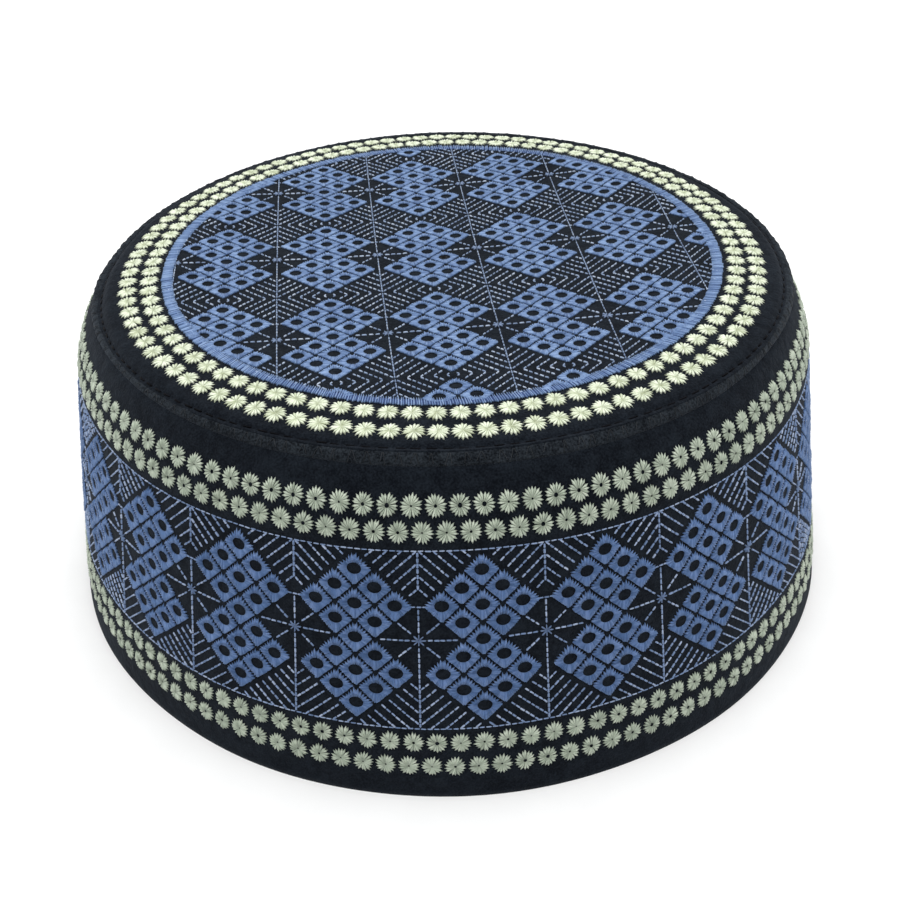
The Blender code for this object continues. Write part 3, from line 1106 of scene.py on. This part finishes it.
def tile_stitches(column, row, to_cloth, normal, form, dice):
    """The stitches of the tile at that chart place; form is (half its width, reach, bluntness)."""
    half_tile, tile_reach, blunt_corner = form
    lot = dice.random()
    made = []
    fan = [(quarter, step, RAGGED_STITCHES) for quarter in (0, 1) for step in range(RAGGED_STITCHES)]
    fan += [(quarter, step, EVEN_STITCHES) for quarter in (2, 3) for step in range(EVEN_STITCHES)]
    for quarter, step, count in fan:
        share = (step + 0.5) / count
        angle = (quarter + share + dice.uniform(-0.02, 0.02)) * math.pi / 2
        root = (EYELET[0] * math.cos(angle), EYELET[1] * math.sin(angle))
        edge = between(CORNERS[quarter], CORNERS[quarter + 1], share)
        reach = tile_reach * (1.0 - blunt_corner * edge[0] ** 4)
        if quarter < 2:
            reach *= TEETH[step % 2] + dice.uniform(-0.04, 0.04)
        else:
            reach *= dice.uniform(0.98, 1.02)
        start = to_cloth(column + root[0], row + root[1])
        end = to_cloth(column + edge[0] * reach, row + edge[1] * reach)
        rise = TILE_RISE * dice.uniform(0.85, 1.1)
        kind = POINTED if quarter < 2 else BLUNT
        width = half_tile * SATIN_FULLNESS / count
        made.append(stitch(start, end, normal, width, rise, kind, dice.random(), lot))
    return made


# %% [markdown]
# ## The frieze
#
# Round the side the chart is bent on to the band: a column becomes a turn and a row a distance up the
# cloth. The band tapers, so the tiles are a little narrower at the top, as they are on the cap.

# %% The frieze on the side
FRIEZE_REPEATS = 22
FRIEZE_START = math.radians(-53.39)
REPEAT_TURN = 2 * math.pi / FRIEZE_REPEATS
HALF_TILE = (FRIEZE_HIGH - FRIEZE_LOW) / HEIGHT_TILES
ROWS_ABOVE = (FRIEZE_HIGH - STAR_ROW) / HALF_TILE
ROWS_BELOW = (STAR_ROW - FRIEZE_LOW) / HALF_TILE
FAN_HEIGHT = 0.02


def frieze_turn(column):
    """Turn of a chart column; column 0 is the first upright line."""
    return FRIEZE_START + column / REPEAT_TILES * REPEAT_TURN


def frieze_place(column, row):
    """Chart to cloth, round the side."""
    turn = frieze_turn(column)
    above = row * HALF_TILE
    across, up = (
        sway(turn, steady) + above / FAN_HEIGHT * sway(turn, fan)
        for steady, fan in zip(FRIEZE_SWAY, FRIEZE_FAN)
    )
    return side_place(turn + across, STAR_ROW + above + up)


def frieze_tiles():
    """The stitches of the tiles round the side."""
    dice = random.Random(21)
    places = []
    for repeat in range(FRIEZE_REPEATS):
        for column, row in chart_tiles():
            middle = (repeat + 0.5) * REPEAT_TILES + column
            normal = off_side(frieze_turn(middle), straight_lean())
            form = (HALF_TILE, TILE_REACH, BLUNT_CORNER)
            places += tile_stitches(middle, row, frieze_place, normal, form, dice)
    return places


def frieze_lines():
    """The running stitches round the side."""
    dice = random.Random(22)
    lines = STAR_CHART + herringbone_lines(ROWS_ABOVE, 1) + herringbone_lines(ROWS_BELOW, -1)
    for edge in (ROWS_ABOVE, -ROWS_BELOW):
        lines.append(((0.0, edge), (REPEAT_TILES, edge), "border"))
    places = []
    for repeat in range(FRIEZE_REPEATS):
        for start, end, kind in lines:
            first = (start[0] + repeat * REPEAT_TILES, start[1])
            last = (end[0] + repeat * REPEAT_TILES, end[1])
            normal = off_side(frieze_turn((first[0] + last[0]) / 2), straight_lean())
            places += line_stitches(first, last, kind, frieze_place, normal, dice)
    return places


seat(sew("frieze_tiles", frieze_tiles(), BLUE_SIDE_SHADED, 21), "blue_thread", "side_frieze")
seat(sew("frieze_running_stitch", frieze_lines(), BLUE_PAINTED_HIGHLIGHT_SIDE, 22, 0.05, 0.08), "blue_thread")

# %% [markdown]
# ## The medallion and its ring
#
# On the crown the chart lies flat, turned by a few degrees, and is cut off by the satin ring, which
# covers the ends of the cut stitches. The ring is close satin stitch: short threads laid side by side
# across it, over a low padding.

# %% The medallion on the crown
CHART_TURN = math.radians(5.16)
CHART_STAR = (0.00769, 0.00497)
CROWN_HALF_WIDTH = 0.02320 / REPEAT_TILES
CROWN_HALF_HEIGHT = 0.03676 / HEIGHT_TILES
CROWN_TILE_REACH = 0.97
CROWN_BLUNT_CORNER = 0.02
CROWN_GAP = 0.07


def ring_radius(turn):
    """Mean distance from the middle to the middle line of the satin ring."""
    return CROWN_ROWS["ring"] + sway(turn, RING_SWAY["ring"][1])


def past_ring(point):
    """How far a point of the crown lies outside the ring's middle line; inside it is negative."""
    x = point.x - CAP_MIDDLE
    turn = math.atan2(x, -point.y)
    return math.hypot(x, point.y) / plan(turn, SEAT_HEIGHT) - ring_radius(turn)


def medallion_place(column, row):
    """Chart to cloth, on the crown; column and row 0 are the star beside the middle."""
    across, up = column * CROWN_HALF_WIDTH, row * CROWN_HALF_HEIGHT
    x = CHART_STAR[0] + across * math.cos(CHART_TURN) - up * math.sin(CHART_TURN)
    y = CHART_STAR[1] + across * math.sin(CHART_TURN) + up * math.cos(CHART_TURN)
    return crown_place(x + pull(x, y, CROWN_PULL[0]), y + pull(x, y, CROWN_PULL[1]))


def cut_at_ring(places):
    """The stitches that lie inside the ring; one that crosses it is cut short under it."""
    kept = []
    for point, aim, size, kind, tone, lot in places:
        way = aim.to_matrix() @ Vector((size[0], 0, 0))
        start_past, end_past = past_ring(point), past_ring(point + way)
        if start_past > 0.0:
            continue
        share = start_past / (start_past - end_past) if end_past > 0.0 else 1.0
        if size[0] * share > SHORTEST:
            kept.append((point, aim, (size[0] * share, size[1], size[2]), kind, tone, lot))
    return kept


def stars():
    """Column and row of each star that can show in the medallion."""
    return [(i * REPEAT_TILES, j * HEIGHT_TILES) for i in range(-4, 4) for j in range(-3, 4)]


def medallion_tiles():
    """The stitches of the tiles on the crown."""
    dice = random.Random(31)
    places = []
    for star_column, star_row in stars():
        for column, row in chart_tiles():
            middle = (star_column + STAR_COLUMN + column, star_row + row)
            if past_ring(medallion_place(*middle)) < CROWN_HALF_WIDTH:
                form = (CROWN_HALF_WIDTH, CROWN_TILE_REACH, CROWN_BLUNT_CORNER)
                places += tile_stitches(*middle, medallion_place, OFF_CROWN, form, dice)
    return cut_at_ring(places)


def medallion_lines():
    """The running stitches on the crown."""
    dice = random.Random(32)
    half = HEIGHT_TILES / 2
    lines = STAR_CHART + herringbone_lines(half, 1) + herringbone_lines(half, -1)
    lines.append(((0.0, 1.85), (0.0, SPINE_START), "ray"))
    places = []
    for star_column, star_row in stars():
        for start, end, kind in lines:
            first = (start[0] + star_column, start[1] + star_row)
            last = (end[0] + star_column, end[1] + star_row)
            thread = (CROWN_LINE_WIDTH, CROWN_GAP)
            places += line_stitches(first, last, kind, medallion_place, OFF_CROWN, dice, thread)
    return cut_at_ring(places)


seat(sew("medallion_tiles", medallion_tiles(), BLUE_TOP_LIT, 31), "blue_thread", "crown_medallion")
seat(sew("medallion_running_stitch", medallion_lines(), BLUE_PAINTED_HIGHLIGHT_TOP, 32, 0.05, 0.08), "blue_thread")


# %% The satin ring
RING_STITCHES = 780
RING_SLANT = math.radians(0.35)
RING_FOOT = 0.00010
SATIN_WIDTH = 0.00045
SATIN_RISE = 0.00046
PADDING_SIDES = 8
PADDING_SHARE = 0.42
PADDING_MIDDLE = 0.00006
PADDING_HEIGHT = 0.00016


def ring_padding():
    """The low padding under the satin stitches."""
    rings = []
    for side in range(PADDING_SIDES):
        angle = 2 * math.pi * side / PADDING_SIDES
        off = PADDING_SHARE * RING_WIDTH * math.cos(angle)
        rise = PADDING_MIDDLE + PADDING_HEIGHT * math.sin(angle)
        rings.append([crown_ring_place(turn, ring_radius(turn) + off, rise) for turn in TURNS])
    return grid_piece("ring_padding", rings, (PADDING,), lambda row: 0)


def ring_stitches():
    """The satin stitches across the ring."""
    dice = random.Random(77)
    places = []
    for index in range(RING_STITCHES):
        turn = 2 * math.pi * (index + dice.uniform(-0.2, 0.2)) / RING_STITCHES
        near = ring_radius(turn) - RING_WIDTH / 2 - dice.uniform(0.0, 0.00020)
        far = ring_radius(turn) + RING_WIDTH / 2 + dice.uniform(-0.00012, 0.00022)
        start = crown_ring_place(turn - RING_SLANT / 2, near, RING_FOOT)
        end = crown_ring_place(turn + RING_SLANT / 2, far, RING_FOOT)
        rise = SATIN_RISE * dice.uniform(0.8, 1.1)
        places.append(stitch(start, end, OFF_CROWN, SATIN_WIDTH, rise, BLUNT, dice.random(), 1.0))
    return places


seat(ring_padding(), "blue_thread", "crown_ring")
seat(sew("satin_ring", ring_stitches(), BLUE_TOP_LIT, 41), "blue_thread")

# %% [markdown]
# ## The seam's threads
#
# Two threads hold the edge: a row of black topstitches in the groove, and fine grey overcast threads
# that climb over the roll and come down on the shoulder in narrow peaks. A straight stitch can't bend
# over the roll, so each overcast thread is a thin tube, laid point by point on the roll's skin.

# %% Topstitch and overcast
TOPSTITCH_PITCH = 0.0031
TOPSTITCH_HALF = 0.38
TOPSTITCH_WIDTH = 0.0006
TOPSTITCH_RISE = 0.00025
OVERCAST_PITCH = 0.0031
OVERCAST_THICKNESS = 0.00008
OVERCAST_START = 0.25
OVERCAST_MISSING = 0.12
OVERCAST_PEAK = 0.03
OVERCAST_SIDES = 5
OVERCAST_STEPS = 8


def topstitches():
    """The topstitches in the groove."""
    dice = random.Random(51)
    count = round(2 * math.pi * GROOVE_RADIUS / TOPSTITCH_PITCH)
    places = []
    for index in range(count):
        turn = 2 * math.pi * (index + dice.uniform(-0.1, 0.1)) / count
        reach = TOPSTITCH_HALF * TOPSTITCH_PITCH / GROOVE_RADIUS
        start = crown_ring_place(turn - reach, groove_radius(turn - reach))
        end = crown_ring_place(turn + reach, groove_radius(turn + reach))
        size = (TOPSTITCH_WIDTH, TOPSTITCH_RISE)
        places.append(stitch(start, end, OFF_CROWN, *size, RUNNING, dice.random(), 0.5))
    return places


def overcast_leg(turn_from, turn_to, last_share):
    """Points and faces of one thin thread over the roll, from its inner foot to its outer one."""
    points = []
    faces = []
    for step in range(OVERCAST_STEPS + 1):
        way = step / OVERCAST_STEPS
        turn = turn_from + (turn_to - turn_from) * way
        share = OVERCAST_START + (last_share - OVERCAST_START) * way
        centre = roll_place(turn, share, OVERCAST_THICKNESS * 0.5)
        out = (roll_place(turn, share, OVERCAST_THICKNESS * 2.5) - centre).normalized()
        round_cap = Vector((math.cos(turn), math.sin(turn), 0.0))
        for side in range(OVERCAST_SIDES):
            angle = 2 * math.pi * side / OVERCAST_SIDES
            off = out * math.sin(angle) + round_cap * math.cos(angle)
            points.append(centre + off * OVERCAST_THICKNESS)
    for step in range(OVERCAST_STEPS):
        for side in range(OVERCAST_SIDES):
            other = (side + 1) % OVERCAST_SIDES
            low, high = step * OVERCAST_SIDES, (step + 1) * OVERCAST_SIDES
            faces.append((low + side, low + other, high + other, high + side))
    faces.append(tuple(range(OVERCAST_SIDES))[::-1])
    faces.append(tuple(OVERCAST_STEPS * OVERCAST_SIDES + side for side in range(OVERCAST_SIDES)))
    return points, faces


def overcast_thread():
    """All the grey overcast threads, as one piece."""
    dice = random.Random(5)
    count = round(2 * math.pi * CROWN_RADIUS / OVERCAST_PITCH)
    step_turn = 2 * math.pi / count
    all_points, all_faces, tones = [], [], []
    for index in range(count):
        peak = (index + dice.uniform(-0.15, 0.15)) * step_turn
        for side in (-1, 1):
            if dice.random() < OVERCAST_MISSING:
                continue
            foot = peak + side * step_turn * dice.uniform(0.10, 0.36)
            inner = peak + side * OVERCAST_PEAK * step_turn
            points, faces = overcast_leg(inner, foot, dice.uniform(0.75, 1.0))
            first = len(all_points)
            all_points += points
            all_faces += [tuple(first + corner for corner in face) for face in faces]
            tones += [dice.random()] * len(points)
    mesh = bpy.data.meshes.new("overcast_thread")
    mesh.from_pydata(all_points, [], all_faces)
    mesh.attributes.new("tone", "FLOAT", "POINT").data.foreach_set("value", tones)
    mesh.materials.append(GREY)
    mesh.shade_smooth()
    tidy_normals(mesh)
    piece = bpy.data.objects.new("overcast_thread", mesh)
    bpy.context.scene.collection.objects.link(piece)
    return piece


seat(sew("topstitch", topstitches(), BLACK, 51, 0.04, 0.05), "seam_velvet")
seat(overcast_thread(), "seam_velvet")

# %% [markdown]
# The sewing is done, so the three forms of stitch are put away. They aren't part of the cap.

# %% Put the stitch forms away
for template in list(STITCHES.objects):
    bpy.data.objects.remove(template)
bpy.data.collections.remove(STITCHES)

# %% [markdown]
# ## Floor, light and camera
#
# The cap was photographed on white, in soft light that comes mostly from above. A very wide sun does
# that with hardly a shadow. The camera's lens, distance and tilt were worked out from the rings of
# daisies in the photograph.

# %% The floor
FLOOR = 4.0
floor_mesh = bpy.data.meshes.new("floor")
floor_corners = [(-FLOOR, -FLOOR, 0), (FLOOR, -FLOOR, 0), (FLOOR, FLOOR, 0), (-FLOOR, FLOOR, 0)]
floor_mesh.from_pydata(floor_corners, [], [(0, 1, 2, 3)])
floor = bpy.data.objects.new("floor", floor_mesh)
bpy.context.scene.collection.objects.link(floor)
paper, paper_tree, paper_shader = recipe("white_paper")
paper_coords = add_node(paper_tree, "ShaderNodeTexCoord").outputs["Object"]
paper_grain = speckle(paper_tree, paper_coords, 90.0)
paper_stops = ((0.2, (0.90, 0.90, 0.90)), (0.8, (0.93, 0.93, 0.93)))
feed(paper_tree, paper_shader, "Base Color", shades(paper_tree, paper_grain, paper_stops))
feed(paper_tree, paper_shader, "Roughness", 0.9)
floor_mesh.materials.append(paper)

# %% Light
ROOM_LIGHT = 0.45
OVERHEAD_LIGHT = 3.4
OVERHEAD_WIDTH = math.radians(110)
OVERHEAD_TILT = math.radians(-8)

world = bpy.context.scene.world or bpy.data.worlds.new("studio")
bpy.context.scene.world = world
world.use_nodes = True
background = world.node_tree.nodes["Background"].inputs
background["Color"].default_value = (1.0, 1.0, 1.0, 1.0)
background["Strength"].default_value = ROOM_LIGHT
overhead = bpy.data.lights.new("overhead", "SUN")
overhead.energy = OVERHEAD_LIGHT
overhead.angle = OVERHEAD_WIDTH
sky = bpy.data.objects.new("overhead", overhead)
sky.rotation_euler = (OVERHEAD_TILT, 0.0, 0.0)
bpy.context.scene.collection.objects.link(sky)

# %% Camera
LENS = 52.95
CAMERA_DISTANCE = 0.34014
CAMERA_ELEVATION = math.radians(35.969)
AIM = Vector((CAP_MIDDLE, 0, 0.01435))
TILT = math.radians(-0.742)
PAN = math.radians(-0.048)
ROLL = math.radians(1.548)

SENSOR_WIDTH = 36.0


def swung(first, second, angle):
    """Both directions, swung in their own plane by that angle."""
    return (
        first * math.cos(angle) + second * math.sin(angle),
        second * math.cos(angle) - first * math.sin(angle),
    )


away = Vector((0, -math.cos(CAMERA_ELEVATION), math.sin(CAMERA_ELEVATION)))
look = -away
right = Vector((1, 0, 0))
up = right.cross(look)
right, look = swung(right, look, PAN)
up, look = swung(up, look, TILT)
up, right = swung(up, right, ROLL)
camera_data = bpy.data.cameras.new("camera")
camera_data.lens = LENS
camera_data.sensor_width = SENSOR_WIDTH
camera = bpy.data.objects.new("camera", camera_data)
camera.matrix_world = Matrix.Translation(AIM + away * CAMERA_DISTANCE) @ Matrix((
    (right.x, up.x, -look.x, 0),
    (right.y, up.y, -look.y, 0),
    (right.z, up.z, -look.z, 0),
    (0, 0, 0, 1),
))
bpy.context.scene.collection.objects.link(camera)
bpy.context.scene.camera = camera
bpy.context.scene.view_settings.view_transform = "Standard"
print(f"The camera stands {CAMERA_DISTANCE * 1000:.0f} mm away, with a {LENS:.1f} mm lens")
